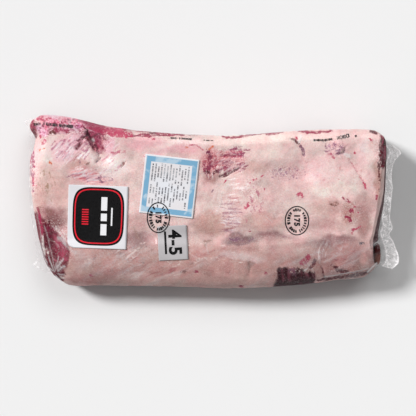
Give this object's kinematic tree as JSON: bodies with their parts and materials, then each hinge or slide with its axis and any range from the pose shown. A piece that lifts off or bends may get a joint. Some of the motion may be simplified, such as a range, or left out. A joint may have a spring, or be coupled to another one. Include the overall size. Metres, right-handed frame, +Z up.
{
  "type": "vacuum-packed raw beef striploin",
  "caption": "Whole raw beef striploin lying fat side up, vacuum packed in a clear shrink bag with a crinkled sealed tail and paper labels.",
  "frame": {"origin": "on the table, under the middle of the whole pack's box", "axes": "+X along the loin towards the bag's sealed tail, +Y towards the chine side, +Z up through the fat cap"},
  "size_m": [0.5132, 0.2376, 0.0803],
  "materials": {
    "filmed_fat": "creamy pink fat under tight clear film",
    "lean": "moist dark red lean beef with fine fat threads",
    "film": "clear shrink film, glossy and wrinkled",
    "juice": "dark meat juice under film",
    "label_paper": "smooth white label paper",
    "label_blue_paper": "smooth label paper printed pale blue",
    "ink": "black printing ink"
  },
  "bodies": {
    "root": {"bagged_striploin": "filmed_fat", "label_square": "label_paper", "label_blue": "label_blue_paper", "label_grade": "label_paper"}
  },
  "joints": []
}
